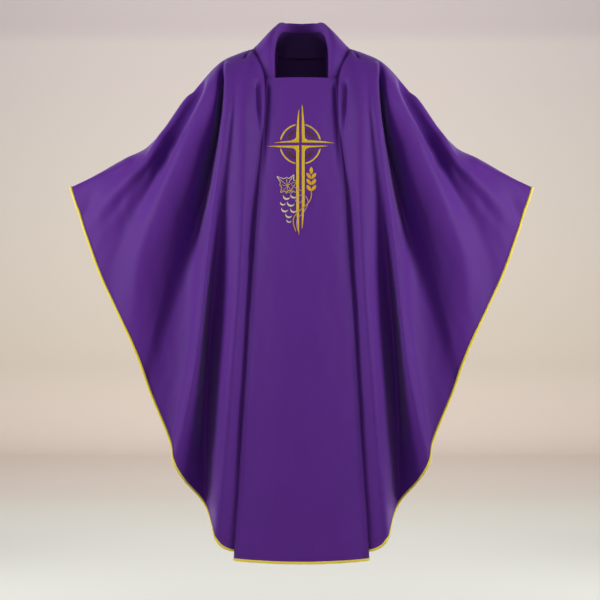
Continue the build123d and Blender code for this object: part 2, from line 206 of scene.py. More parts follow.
def relief(points, v, face):
    """Height of the small creases and ripples on a wing, none of it along the arm line."""
    x, z = points[:, :, 0], points[:, :, 2]
    height = ripple(x, z)
    for width, stand, line in CREASES:
        height += crease(x, z, width, stand * (BACK_FOLDS if face > 0 else 1.0), line)
    return height * step(v, 0.0, 0.025)[None, :]


def ripple(x, z):
    """The faint waves that hanging cloth keeps."""
    slow = np.sin(2 * math.pi * (x / 0.083 + 0.25 * np.sin(2 * math.pi * z / 0.61)))
    cross = np.sin(2 * math.pi * (z / 0.31 + 0.4 * np.sin(2 * math.pi * x / 0.27) + 0.2))
    fine = np.sin(2 * math.pi * (x / 0.037 + z / 0.29 + 0.3 * np.sin(2 * math.pi * z / 0.17)))
    return 0.0007 * slow + 0.0006 * cross + 0.00022 * fine


def crease(x, z, width, stand, line):
    """A soft ridge or groove along a line that fades out at both ends."""
    line = np.asarray(line, float)
    runs = np.diff(line, axis=0)
    lengths = np.linalg.norm(runs, axis=1)
    total = lengths.sum()
    nearest = np.full(x.shape, 1e9)
    place = np.zeros(x.shape)
    done = 0.0
    for start, run, length in zip(line, runs, lengths):
        along = ((x - start[0]) * run[0] + (z - start[1]) * run[1]) / length ** 2
        along = np.clip(along, 0, 1)
        away = np.hypot(x - start[0] - along * run[0], z - start[1] - along * run[1])
        closer = away < nearest
        nearest = np.where(closer, away, nearest)
        place = np.where(closer, (done + along * length) / total, place)
        done += length
    fade = step(place, 0.0, CREASE_FULL) * (1 - step(place, CREASE_FADE, 1.0))
    return stand * np.exp(-(nearest / width) ** 2) * fade


def panel_half(z):
    return PANEL_HALF_TOP + PANEL_TAPER * (PANEL_TOP - z)


def panel_depth(x, z, top):
    """How far a panel lies from the shoulder line."""
    down = top - z
    depth = CHEST + CHEST_GAIN * (1 - np.exp(-down / CHEST_LENGTH)) + HANG_FLARE * down
    place, width, sink = PANEL_VALLEY
    drift = 0.05 * np.maximum(-0.12 - z, 0)
    fade = step(-z, 0.085, 0.110) * (1 - step(-z, 0.200, 0.330))
    valley = sink * fade * np.exp(-((np.abs(x) - place - drift) / width) ** 2)
    return depth - PANEL_CROWN * (x / panel_half(z)) ** 2 - valley + ripple(x, z) * step(down, 0, 0.1)


def panel_grid(ss, ts, face, top):
    """Points of a panel with its side edges rolled back and turned under."""
    hem = PANEL_HEM - PANEL_HEM_DIP * (1 - np.clip(ss, -1, 1)[:, None] ** 2)
    z = top + (hem - top) * ts[None, :]
    flat = panel_half(z) - PANEL_ROLL
    turn = math.pi * PANEL_ROLL
    reach = np.abs(ss)[:, None] * (flat + turn + PANEL_RETURN)
    sign = np.sign(ss)[:, None]
    angle = np.clip((reach - flat) / PANEL_ROLL, 0, math.pi)
    back = np.maximum(reach - flat - turn, 0)
    x = np.minimum(reach, flat) + PANEL_ROLL * np.sin(angle) - back
    depth = panel_depth(sign * x, z, top) - PANEL_ROLL * (1 - np.cos(angle))
    return np.stack([sign * x, face * depth, z], axis=2)


def behind_panel_grid(ss, ts, offset):
    """Points of a layer close behind the front panel."""
    z = PANEL_TOP + (PANEL_HEM - PANEL_TOP) * ts[None, :] + 0 * ss[:, None]
    x = ss[:, None] * (panel_half(z) - PANEL_ROLL)
    return np.stack([x, offset - panel_depth(x, z, PANEL_TOP), z], axis=2)


def collar_rows(ss, *rows):
    c = np.abs(ss)
    found = [smooth(c, COLLAR_STATIONS, row) for row in rows]
    for row in found:
        row[:, 0] *= np.sign(ss)
    return found


def collar_grid(ss, ts, inset=0.0):
    """Points of the collar: s from -1 to 1 round the neck, t from its seam over the roll inside."""
    rows = collar_rows(ss, COLLAR_SEAM, COLLAR_ROLL, COLLAR_INNER)
    points = smooth(ts, (0.0, COLLAR_ROLL_AT, 1.0), rows).transpose(1, 0, 2)
    return points - outward_from_neck(points) * inset


def facing_grid(ss, ts):
    """Points of the collar's inside, from its inner edge back down to the neck seam."""
    edge, seam = collar_rows(ss, COLLAR_INNER, COLLAR_SEAM)
    seam = seam * (0.93, 0.93, 1.0) - (0, 0, 0.006)
    t = ts[None, :, None]
    points = edge[:, None] * (1 - t) + seam[:, None] * t
    hollow = 0.004 * np.sin(math.pi * t)
    return points + hollow * unit(points * (1, 1, 0))


def tape_grid(us, vs, side):
    """Points of the tape under the seam along the arm."""
    span = TAPE_START + TAPE_SPAN * us[:, None] + 0 * vs
    y = TAPE_HALF_WIDTH * (2 * vs[None, :] - 1) + 0 * us[:, None]
    return np.stack([side * span, y, arm_height(span) - 0.0026 - 20 * y * y], axis=2)


# ---- meshes -----------------------------------------------------------------------------------
def unit(vectors):
    return vectors / np.maximum(np.linalg.norm(vectors, axis=-1), 1e-12)[..., None]


def grid_normals(points):
    return unit(np.cross(np.gradient(points, axis=0), np.gradient(points, axis=1)))


def outward_normals(points, face):
    """Normals of a grid that point to the front (face -1) or back (+1) and upwards."""
    normals = grid_normals(points)
    return normals * np.sign(np.mean(normals @ np.array([0, face, 0.3])))


def outward_from_neck(points):
    """Normals of a grid round the neck that point away from the neck."""
    normals = grid_normals(points)
    away = points * (1, 1, 0)
    return normals * np.sign(np.mean(np.einsum("ijk,ijk->ij", normals, away)))


def arc_uv(points):
    """Cloth coordinates in metres, along and across the grid."""
    def along(axis):
        steps = np.linalg.norm(np.diff(points, axis=axis), axis=2)
        pad = [(1, 0), (0, 0)] if axis == 0 else [(0, 0), (1, 0)]
        return np.pad(np.cumsum(steps, axis=axis), pad)
    return np.stack([along(0), along(1)], axis=2)


def new_object(name, verts, quads, uvs=None, ngons=(), smooth_angle=50):
    """A mesh of quads, and of any larger faces after them."""
    corners = np.concatenate([np.ravel(quads)] + [np.asarray(face) for face in ngons]).astype(np.int32)
    sizes = np.array([4] * len(quads) + [len(face) for face in ngons])
    mesh = bpy.data.meshes.new(name)
    mesh.vertices.add(len(verts))
    mesh.vertices.foreach_set("co", np.ravel(verts).astype(np.float32))
    mesh.loops.add(len(corners))
    mesh.loops.foreach_set("vertex_index", corners)
    mesh.polygons.add(len(sizes))
    mesh.polygons.foreach_set("loop_start", (np.cumsum(sizes) - sizes).astype(np.int32))
    mesh.polygons.foreach_set("use_smooth", np.ones(len(sizes), dtype=bool))
    mesh.update(calc_edges=True)
    if uvs is not None:
        layer = mesh.uv_layers.new(name="cloth")
        layer.data.foreach_set("uv", uvs[corners].astype(np.float32).ravel())
    mesh.set_sharp_from_angle(angle=math.radians(smooth_angle))
    piece = bpy.data.objects.new(name, mesh)
    bpy.context.scene.collection.objects.link(piece)
    return piece


def cloth_object(name, points, outside, thickness=CLOTH):
    """A closed thin sheet around a grid of points. Its face on the outside comes first."""
    if np.mean(np.einsum("ijk,ijk->ij", grid_normals(points), outside)) < 0:
        points = points[::-1]
    nu, nv = points.shape[:2]
    normals = grid_normals(points)
    front = points + normals * (thickness / 2)
    back = points - normals * (thickness / 2)
    verts = np.concatenate([front.reshape(-1, 3), back.reshape(-1, 3)])
    index = np.arange(nu * nv).reshape(nu, nv)
    a, b, c, d = index[:-1, :-1], index[1:, :-1], index[1:, 1:], index[:-1, 1:]
    top = np.stack([a, b, c, d], axis=2).reshape(-1, 4)
    under = top[:, ::-1] + nu * nv
    rim = np.concatenate([index[:, 0], index[-1, 1:], index[-2::-1, -1], index[0, -2:0:-1]])
    rim_next = np.roll(rim, -1)
    sides = np.stack([rim, rim + nu * nv, rim_next + nu * nv, rim_next], axis=1)
    uv = arc_uv(points).reshape(-1, 2)
    piece = new_object(name, verts, np.concatenate([top, under, sides]), np.concatenate([uv, uv]))
    lined = np.zeros(len(piece.data.polygons), dtype=np.int32)
    lined[len(top):2 * len(top)] = 1
    piece.data.polygons.foreach_set("material_index", lined)
    return piece


def resample(path, spacing):
    """Points at even distances along a path."""
    steps = np.concatenate([[0], np.cumsum(np.linalg.norm(np.diff(path, axis=0), axis=1))])
    places = np.linspace(0, steps[-1], max(int(steps[-1] / spacing), 2) + 1)
    return np.stack([np.interp(places, steps, path[:, k]) for k in range(path.shape[1])], axis=1)


PUCKER_PITCH = 0.0052     # diagonal puckers of the satin that covers the piping
PUCKER_DEPTH = 0.035


def piping_object(name, path, radius, sides=14):
    """A closed round cord along a path, with slanting puckers."""
    path = resample(path, 0.0012)
    tangents = unit(np.gradient(path, axis=0))
    sideways = np.array([0.0, 1.0, 0.0])
    across = unit(sideways - tangents * (tangents @ sideways)[:, None])
    other = np.cross(tangents, across)
    angles = np.linspace(0, 2 * math.pi, sides, endpoint=False)[None, :]
    steps = np.arange(len(path))[:, None] * np.linalg.norm(path[1] - path[0])
    bulge = radius * (1 + PUCKER_DEPTH * np.sin(2 * math.pi * steps / PUCKER_PITCH + angles))
    circle = (np.cos(angles)[:, :, None] * across[:, None] + np.sin(angles)[:, :, None] * other[:, None])
    verts = path[:, None] + bulge[:, :, None] * circle
    index = np.arange(len(path) * sides).reshape(len(path), sides)
    following = np.roll(index, -1, axis=1)
    quads = np.stack([index[:-1], following[:-1], following[1:], index[1:]], axis=2).reshape(-1, 4)
    uv = np.stack(np.broadcast_arrays(steps, angles * radius), axis=2).reshape(-1, 2)
    return new_object(name, verts.reshape(-1, 3), quads, uv, (index[0, ::-1], index[-1]))


STITCH_STEPS = np.array([0.0, 0.12, 0.35, 0.65, 0.88, 1.0])
STITCH_RISE = np.array([-0.25, 0.6, 1.0, 1.0, 0.6, -0.25])   # share of the arch at these steps


def thread_object(name, starts, ends, ups, radius, arch):
    """Stitches as closed slim prisms from starts to ends that arch along ups."""
    starts, ends = np.asarray(starts, float), np.asarray(ends, float)
    ups = np.broadcast_to(np.asarray(ups, float), starts.shape)
    lengths = np.linalg.norm(ends - starts, axis=1)
    across = unit(np.cross(ends - starts, ups))
    t = STITCH_STEPS[None, :, None]
    line = starts[:, None] * (1 - t) + ends[:, None] * t
    line = line + ups[:, None] * (STITCH_RISE * arch)[None, :, None]
    ring = np.stack([across, ups, -across, -ups], axis=1) * radius
    verts = (line[:, :, None] + ring[:, None]).reshape(-1, 3)
    n, steps = len(starts), len(STITCH_STEPS)
    index = np.arange(n * steps * 4).reshape(n, steps, 4)
    following = np.roll(index, -1, axis=2)
    quads = np.stack([index[:, :-1], index[:, 1:], following[:, 1:], following[:, :-1]], axis=3)
    caps = np.concatenate([index[:, 0], index[:, -1, ::-1]])
    along = np.broadcast_to(lengths[:, None, None] * t, (n, steps, 4))
    beside = np.broadcast_to(np.arange(n)[:, None, None] * 0.0031, (n, steps, 4))
    uv = np.stack([along, beside], axis=3).reshape(-1, 2)
    faces = np.concatenate([quads.reshape(-1, 4), caps])
    return new_object(name, verts, faces, uv, smooth_angle=70)


# ---- materials --------------------------------------------------------------------------------
def nodes_of(name):
    material = bpy.data.materials.new(name)
    material.use_nodes = True
    tree = material.node_tree
    return material, tree, tree.nodes["Principled BSDF"]


def texture(tree, kind, stretch, **inputs):
    """A texture on the cloth's own coordinates, in metres."""
    uv = tree.nodes.new("ShaderNodeUVMap")
    uv.uv_map = "cloth"
    mapping = tree.nodes.new("ShaderNodeMapping")
    mapping.inputs["Scale"].default_value = (*stretch, 1)
    node = tree.nodes.new(kind)
    for key, value in inputs.items():
        node.inputs[key.replace("_", " ")].default_value = value
    tree.links.new(uv.outputs["UV"], mapping.inputs["Vector"])
    tree.links.new(mapping.outputs["Vector"], node.inputs["Vector"])
    return node.outputs["Fac" if "Fac" in node.outputs else "Distance"]


def math_node(tree, operation, first, second):
    node = tree.nodes.new("ShaderNodeMath")
    node.operation = operation
    for socket, value in zip(node.inputs, (first, second)):
        if isinstance(value, (int, float)):
            socket.default_value = value
        else:
            tree.links.new(value, socket)
    return node.outputs[0]


def mixed(tree, factor, first, second):
    """A colour between two colours or colour sockets."""
    node = tree.nodes.new("ShaderNodeMix")
    node.data_type = "RGBA"
    tree.links.new(factor, node.inputs["Factor"])
    for socket, value in ((node.inputs["A"], first), (node.inputs["B"], second)):
        if isinstance(value, tuple):
            socket.default_value = (*value, 1)
        else:
            tree.links.new(value, socket)
    return node.outputs["Result"]


def bumped(tree, shader, height, distance, strength):
    bump = tree.nodes.new("ShaderNodeBump")
    bump.inputs["Strength"].default_value = strength
    bump.inputs["Distance"].default_value = distance
    tree.links.new(height, bump.inputs["Height"])
    tree.links.new(bump.outputs["Normal"], shader.inputs["Normal"])


def cloth_material(name, light, dark, pitch, roughness, sheen, sheen_tint):
    """Woven cloth: slubby warp and weft in two shades, with slow changes of tone."""
    material, tree, shader = nodes_of(name)
    shader.inputs["Roughness"].default_value = roughness
    shader.inputs["Specular IOR Level"].default_value = 0.30
    shader.inputs["Sheen Weight"].default_value = sheen
    shader.inputs["Sheen Roughness"].default_value = 0.4
    shader.inputs["Sheen Tint"].default_value = (*sheen_tint, 1)
    warp = texture(tree, "ShaderNodeTexNoise", (1 / pitch, 0.06 / pitch), Scale=1.0, Detail=2.0)
    weft = texture(tree, "ShaderNodeTexNoise", (0.06 / pitch, 1 / pitch), Scale=1.0, Detail=2.0)
    slub = math_node(tree, "MULTIPLY", math_node(tree, "ADD", warp, weft), 0.5)
    tone = texture(tree, "ShaderNodeTexNoise", (1, 1), Scale=7.0, Detail=3.0)
    shade = math_node(tree, "ADD", math_node(tree, "MULTIPLY", slub, 0.7),
                      math_node(tree, "MULTIPLY", tone, 0.3))
    tree.links.new(mixed(tree, shade, dark, light), shader.inputs["Base Color"])
    bumped(tree, shader, slub, 0.0005, 0.35)
    return material


def twill_material(name, light, dark, roughness):
    """Narrow woven tape or non-woven felt: a coarse slanting grain with fibres."""
    material, tree, shader = nodes_of(name)
    shader.inputs["Roughness"].default_value = roughness
    grain = texture(tree, "ShaderNodeTexVoronoi", (900, 300), Scale=1.0)
    fibre = texture(tree, "ShaderNodeTexNoise", (250, 1400), Scale=1.0, Detail=3.0)
    shade = math_node(tree, "MULTIPLY", math_node(tree, "ADD", grain, fibre), 0.5)
    tree.links.new(mixed(tree, shade, dark, light), shader.inputs["Base Color"])
    bumped(tree, shader, shade, 0.0004, 0.5)
    return material


def thread_material(name, light, dark, roughness=0.42, sheen=0.0):
    """Glossy thread: each stitch has its own shade, and fine fibres run along it."""
    material, tree, shader = nodes_of(name)
    shader.inputs["Roughness"].default_value = roughness
    shader.inputs["Specular IOR Level"].default_value = 0.4
    shader.inputs["Sheen Weight"].default_value = sheen
    shader.inputs["Anisotropic"].default_value = 0.5
    stitch = texture(tree, "ShaderNodeTexNoise", (20, 310), Scale=1.0, Detail=1.0)
    fibre = texture(tree, "ShaderNodeTexNoise", (500, 9000), Scale=1.0, Detail=2.0)
    shade = math_node(tree, "MULTIPLY", math_node(tree, "ADD", stitch, fibre), 0.5)
    tree.links.new(mixed(tree, shade, dark, light), shader.inputs["Base Color"])
    bumped(tree, shader, fibre, 0.0002, 0.25)
    return material


VIOLET = cloth_material("violet_cloth", (0.134, 0.020, 0.335), (0.084, 0.011, 0.220), 0.0007,
                        0.66, 0.34, (0.66, 0.56, 0.80))
LINING = cloth_material("violet_lining", (0.075, 0.020, 0.170), (0.050, 0.013, 0.115), 0.0004,
                        0.50, 0.10, (0.60, 0.50, 0.80))
INTERLINING = twill_material("interlining", (0.70, 0.66, 0.58), (0.52, 0.47, 0.40), 0.9)
TAPE = twill_material("seam_tape", (0.105, 0.034, 0.225), (0.060, 0.018, 0.130), 0.8)
PIPING = thread_material("gold_piping", (1.0, 0.86, 0.030), (1.0, 0.72, 0.010), 0.34, 1.0)
GOLD = thread_material("gold_thread", (1.0, 0.71, 0.014), (0.66, 0.43, 0.005))
OLD_GOLD = thread_material("old_gold_thread", (0.86, 0.64, 0.07), (0.60, 0.40, 0.03))
AMBER = thread_material("amber_thread", (1.0, 0.68, 0.005), (0.78, 0.42, 0.002))
CREAM = thread_material("cream_thread", (1.0, 0.92, 0.56), (0.80, 0.66, 0.42))
LILAC = thread_material("lilac_thread", (0.68, 0.45, 0.70), (0.48, 0.28, 0.50))
STALK_MATERIAL = thread_material("stalk_thread", (0.76, 0.42, 0.09), (0.52, 0.25, 0.06))
RUST = thread_material("rust_thread", (0.17, 0.062, 0.070), (0.09, 0.030, 0.050), 0.5)
STITCHING = thread_material("violet_stitching", (0.150, 0.035, 0.330), (0.080, 0.018, 0.190), 0.45)


# ---- the pieces -------------------------------------------------------------------------------
def finish_piece(piece, slot, materials, *replaced):
    for material in materials:
        piece.data.materials.append(material)
    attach(piece, "root")
    if replaced:
        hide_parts(*replaced)
    return piece


def facing_way(points, way):
    """The same outside direction for every point of a grid."""
    return np.broadcast_to(np.array(way, float), points.shape)


US = np.linspace(0, 1, 241)
WS = np.linspace(0, 1, 201)
SIDES = ((-1, "right"), (1, "left"))
FACES = ((-1, "front", PANEL_TOP), (1, "back", BACK_PANEL_TOP))
STITCH_PITCH = 0.0042
STITCH_LENGTH = 0.0030
STITCH_RADIUS = 0.00032


def past_edge(edge, inside):
    """A path just past an edge of a sheet, for the cord that is sewn along it."""
    return edge + unit(edge - inside) * PIPING_RADIUS * 0.7


def stitch_row(rows, path, ups):
    """Adds a row of running stitches along a path on the cloth."""
    both = resample(np.concatenate([path, ups], axis=1), STITCH_PITCH)
    path, ups = both[:, :3], unit(both[:, 3:])
    along = unit(np.gradient(path, axis=0)) * STITCH_LENGTH / 2
    lifted = path + ups * (CLOTH / 2 + 0.0001)
    rows.append((lifted - along, lifted + along, ups))


def stitching_object(name, rows):
    starts, ends, ups = (np.concatenate(column) for column in zip(*rows))
    piece = thread_object(name, starts, ends, ups, STITCH_RADIUS, 0.00035)
    return finish_piece(piece, "violet_cloth", [STITCHING])


def wing_pieces(side, hand, face, word):
    points = wing_grid(US, WS, side, face)
    wing = cloth_object(f"{word}_{hand}_wing_cloth", points, facing_way(points, (0, face, 0.3)))
    finish_piece(wing, "violet_cloth", [VIOLET, LINING], f"{word}_{hand}_wing")
    hem = past_edge(points[8:-14, -1], points[8:-14, -5])
    tip = past_edge(points[-1, -12::-1], points[-5, -12::-1])
    cord = piping_object(f"{word}_{hand}_gold_edge", np.concatenate([hem, tip]), PIPING_RADIUS)
    finish_piece(cord, "gold_piping", [PIPING], f"{word}_{hand}_piping")
    normals = outward_normals(points, face)
    rows = []
    stitch_row(rows, points[8:, -3], normals[8:, -3])
    stitching = stitching_object(f"{word}_{hand}_hem_stitches", rows)
    return points


def panel_pieces(face, word, top):
    points = panel_grid(np.linspace(-1, 1, 181), np.linspace(0, 1, 261), face, top)
    panel = cloth_object(f"{word}_panel_cloth", points, facing_way(points, (0, face, 0)))
    finish_piece(panel, "violet_cloth", [VIOLET, LINING], f"{word}_panel")
    hem = past_edge(points[14:-14, -1], points[14:-14, -4])
    cord = piping_object(f"{word}_panel_gold_edge", hem, PIPING_RADIUS)
    finish_piece(cord, "gold_piping", [PIPING], f"{word}_panel_piping")
    heights = np.linspace(top - 0.004, PANEL_HEM + 0.004, 200)
    beside_hem = np.linspace(-0.97, 0.97, 80)
    rows = []
    for side in (-1, 1):
        xs = side * (panel_half(heights) - PANEL_ROLL - 0.004)
        line = np.column_stack([xs, face * panel_depth(xs, heights, top), heights])
        stitch_row(rows, line, facing_way(line, (0, face, 0.05)))
    xs = beside_hem * (panel_half(PANEL_HEM) - PANEL_ROLL)
    heights = np.full(len(xs), PANEL_HEM + 0.008) - PANEL_HEM_DIP * (1 - beside_hem ** 2)
    line = np.column_stack([xs, face * panel_depth(xs, heights, top), heights])
    stitch_row(rows, line, facing_way(line, (0, face, 0.05)))
    stitching = stitching_object(f"{word}_panel_stitches", rows)
    return panel, [cord, stitching]


# ---- embroidery, drawn flat as (x, z) and laid on the front panel ---------------------------------
CROSS = (-0.0027, -0.2490)      # the crossing of the four strokes
CROSS_GAP = 0.0034              # half the gap between the strokes
CROSS_BAR = 0.0070              # width of a stroke near the crossing
CROSS_TAPER = 0.062             # length over which a stroke narrows to its tip
CROSS_FILLET = 0.0105           # radius of the curve between two strokes
CROSS_ARMS = {                  # direction across, direction up: length up or down, length across
    (1, 1): (.101, .085), (-1, 1): (.088, .066), (-1, -1): (.226, .084), (1, -1): (.211, .068)}
HALO_RADIUS = 0.0500
HALO_WIDTH = 0.0038
HALO_CLEAR = 12                 # degrees left free beside each stroke
SHADE_RADIUS = 0.0355
SHADE_WIDTH = 0.0085
SHADE_CLEAR = 24
SATIN_SPACING = 0.00044         # from one satin stitch to the next
SATIN_RADIUS = 0.00030
GRAPES = [(-.037, -.382), (-.0195, -.379), (-.046, -.397), (-.0265, -.3985), (-.0415, -.413),
          (-.0195, -.4145), (-.0315, -.4275), (-.031, -.4405)]
GRAPE_SIZES = (.0086, .0080, .0070, .0092, .0086, .0084, .0082, .0062)
GRAPE_WIDTH = 0.0046
LEAF_FOOT = (-.034, -.352)      # where the leaf's veins meet
LEAF_TIPS = [(140, .035), (100, .020), (60, .030), (25, .025),
             (-60, .015), (-100, .020), (-135, .025), (175, .020)]   # lobes: degrees, reach
LEAF_NOTCH = 0.7                # reach of the notch between two tips, as a share of theirs
LEAF_EDGE_WIDTH = 0.0019
VEIN_REACH = 0.80               # how far a vein runs towards its tip
VEIN_BEND = 5                   # degrees that a vein bows aside half-way
VEIN_WIDTH = 0.0013
LEAF_FADE = -0.3400             # above this height the leaf is cream, below it gold
CURL = [(-.032, -.370), (-.023, -.366), (-.014, -.370)]
CURL_WIDTH = 0.0022
TENDRILS = [[(-.026, -.350), (-.012, -.360), (.002, -.366)],
            [(-.016, -.388), (-.008, -.378), (.008, -.378), (.016, -.394),
             (.006, -.418), (-.010, -.434), (-.012, -.450), (-.008, -.468)],
            [(-.028, -.382), (-.026, -.372), (-.020, -.368)],
            [(-.016, -.388), (-.010, -.396), (-.002, -.394), (.004, -.384)]]
TENDRIL_WIDTH = 0.0018
STALK = [(.024, -.366), (.024, -.378), (.018, -.394), (-.004, -.414),
         (-.018, -.430), (-.020, -.446), (-.014, -.466)]
STALK_WIDTH = 0.0027
EAR = (.0241, -.3060)           # the tip of the wheat's top grain
GRAIN_LENGTH = 0.0185
GRAIN_WIDTH = 0.0082
GRAIN_LEAN = 36                 # degrees from upright
GRAIN_FEET = (-.3358, -.3508, -.3660)


def on_panel(flat, lift=0.0):
    """Points on the front panel's outside for flat (x, z) ones."""
    x, z = np.asarray(flat, float).T
    return np.stack([x, -panel_depth(x, z, PANEL_TOP) - CLOTH / 2 - lift, z], axis=1)


def flat_curve(points, spacing, closed=False):
    """Even points along a line through flat points, smooth if it is open, and the ways across."""
    points = np.asarray(points, float)
    if closed:
        fine = np.concatenate([points, points[:1]])
    else:
        knots = np.arange(len(points))
        fine = smooth(np.linspace(0, len(points) - 1, 24 * len(points)), knots, points)
    line = resample(fine, spacing)
    along = unit(np.gradient(line, axis=0))
    return line, np.stack([-along[:, 1], along[:, 0]], axis=1)


def satin_line(points, width, closed=False, taper=0.0):
    """Short stitches side by side across a smooth line."""
    line, across = flat_curve(points, SATIN_SPACING, closed)
    t = np.linspace(0, 1, len(line))
    narrowed = np.minimum(1, np.minimum(t, 1 - t) / max(taper, 1e-6) + 0.3)
    half = across * (width / 2 * narrowed)[:, None]
    return line - half, line + half


def cross_stroke(across, up):
    """One corner of the cross: a tall and a wide tapering stroke that meet in a curve."""
    tall, wide = CROSS_ARMS[(across, up)]
    bend = CROSS_GAP + CROSS_BAR + CROSS_FILLET

    def arm(length):
        places = np.linspace(length, bend, int((length - bend) / SATIN_SPACING))
        width = CROSS_BAR * np.clip((length - places) / CROSS_TAPER, 0.004, 1) ** 0.62
        return places, width

    rise, tall_width = arm(tall)
    reach, wide_width = arm(wide)
    turns = np.linspace(0, math.pi / 2, int(math.pi / 2 * (CROSS_FILLET + CROSS_BAR) / SATIN_SPACING))
    curve_x = bend - CROSS_FILLET * np.cos(turns)
    curve_z = bend - CROSS_FILLET * np.sin(turns)
    inner_x = CROSS_GAP + (bend - CROSS_GAP) * np.clip(2 * turns / (math.pi / 2) - 1, 0, 1)
    inner_z = bend - (bend - CROSS_GAP) * np.clip(2 * turns / (math.pi / 2), 0, 1)
    gap = np.full(len(rise), CROSS_GAP)
    gap_wide = np.full(len(reach), CROSS_GAP)
    starts = np.concatenate([np.column_stack([gap, rise]), np.column_stack([inner_x, inner_z]),
                             np.column_stack([reach, gap_wide])[::-1]])
    ends = np.concatenate([np.column_stack([CROSS_GAP + tall_width, rise]),
                           np.column_stack([curve_x, curve_z]),
                           np.column_stack([reach, CROSS_GAP + wide_width])[::-1]])
    return [np.array(CROSS) + side * (across, up) for side in (starts, ends)]


def ring_part(radius, width, quarter, clear):
    """Satin stitches across one arc of a ring round the crossing."""
    low, high = np.radians([quarter + clear, quarter + 90 - clear])
    angles = np.linspace(low, high, int((high - low) * radius / SATIN_SPACING))
    ways = np.column_stack([np.cos(angles), np.sin(angles)])
    ends = np.minimum(np.arange(len(angles)), np.arange(len(angles))[::-1]) * SATIN_SPACING
    half = width / 2 * np.clip(ends / width, 0.3, 1)[:, None]
    return np.array(CROSS) + ways * (radius - half), np.array(CROSS) + ways * (radius + half)


def ring_scribble(radius, width, quarter, clear, dice):
    """Loose long stitches that shade one arc of a ring."""
    count = 95
    angles = np.radians(dice.uniform(quarter + clear, quarter + 90 - clear, count))
    radii = radius + width / 2 * dice.uniform(-1, 1, count)
    spans = dice.uniform(0.05, 0.14, count)
    drift = dice.uniform(-0.0012, 0.0012, count)
    starts = np.column_stack([np.cos(angles - spans), np.sin(angles - spans)]) * radii[:, None]
    ends = np.column_stack([np.cos(angles + spans), np.sin(angles + spans)]) * (radii + drift)[:, None]
    return np.array(CROSS) + starts, np.array(CROSS) + ends


def grape(x, z, size):
    """A sickle of satin stitches, open at the top and higher on its left."""
    angles = np.radians(np.linspace(158, 348, int(math.radians(190) * size / SATIN_SPACING)))
    t = np.linspace(0, 1, len(angles))
    width = GRAPE_WIDTH * size / 0.0086 * np.clip(np.sin(math.pi * t), 0.02, 1) ** 0.8
    ways = np.column_stack([np.cos(angles), np.sin(angles)])
    middle = np.array([x, z + 0.30 * size])
    return middle + ways * size, middle + ways * (size - width[:, None])


def grain(x, z, lean):
    """A grain of wheat in two columns of slanting stitches."""
    turn = math.radians(lean)
    up = np.array([math.sin(turn), math.cos(turn)])
    aside = np.array([math.cos(turn), -math.sin(turn)])
    t = np.linspace(0.02, 0.98, int(GRAIN_LENGTH / SATIN_SPACING))[:, None]
    rib = np.array([x, z]) + up * GRAIN_LENGTH * t
    half = GRAIN_WIDTH / 2 * np.sin(math.pi * t ** 0.85) ** 0.8
    slant = up * 0.0016 * np.sin(math.pi * t)
    starts = np.concatenate([rib + aside * 0.00015, rib - aside * 0.00015])
    ends = np.concatenate([rib + aside * half + slant, rib - aside * half + slant])
    return starts, ends


def leaf_point(turn, reach):
    return (LEAF_FOOT[0] + reach * math.cos(math.radians(turn)),
            LEAF_FOOT[1] + reach * math.sin(math.radians(turn)))


def leaf_edge():
    """The leaf's outline: each tip, then the notch half-way round to the next one."""
    edge = []
    for (turn, reach), (next_turn, next_reach) in zip(LEAF_TIPS, LEAF_TIPS[1:] + LEAF_TIPS[:1]):
        half_way = turn - (turn - next_turn) % 360 / 2
        edge.append(leaf_point(turn, reach))
        edge.append(leaf_point(half_way, LEAF_NOTCH * (reach + next_reach) / 2))
    return edge


def leaf_vein(turn, reach):
    """A slightly bowed vein from the leaf's foot towards one of its tips."""
    return [LEAF_FOOT, leaf_point(turn + VEIN_BEND, VEIN_REACH * reach / 2),
            leaf_point(turn, VEIN_REACH * reach)]


def embroidered(name, slot, materials, parts, node, arch=0.0009, radius=SATIN_RADIUS, lift=0.0):
    """One colour of the embroidery: every pair of flat starts and ends becomes a stitch."""
    starts = np.concatenate([part[0] for part in parts])
    ends = np.concatenate([part[1] for part in parts])
    ups = unit(on_panel((starts + ends) / 2, 0.001) - on_panel((starts + ends) / 2))
    piece = thread_object(name, on_panel(starts, lift), on_panel(ends, lift), ups, radius, arch)
    return finish_piece(piece, slot, materials, node), (starts + ends)[:, 1] / 2


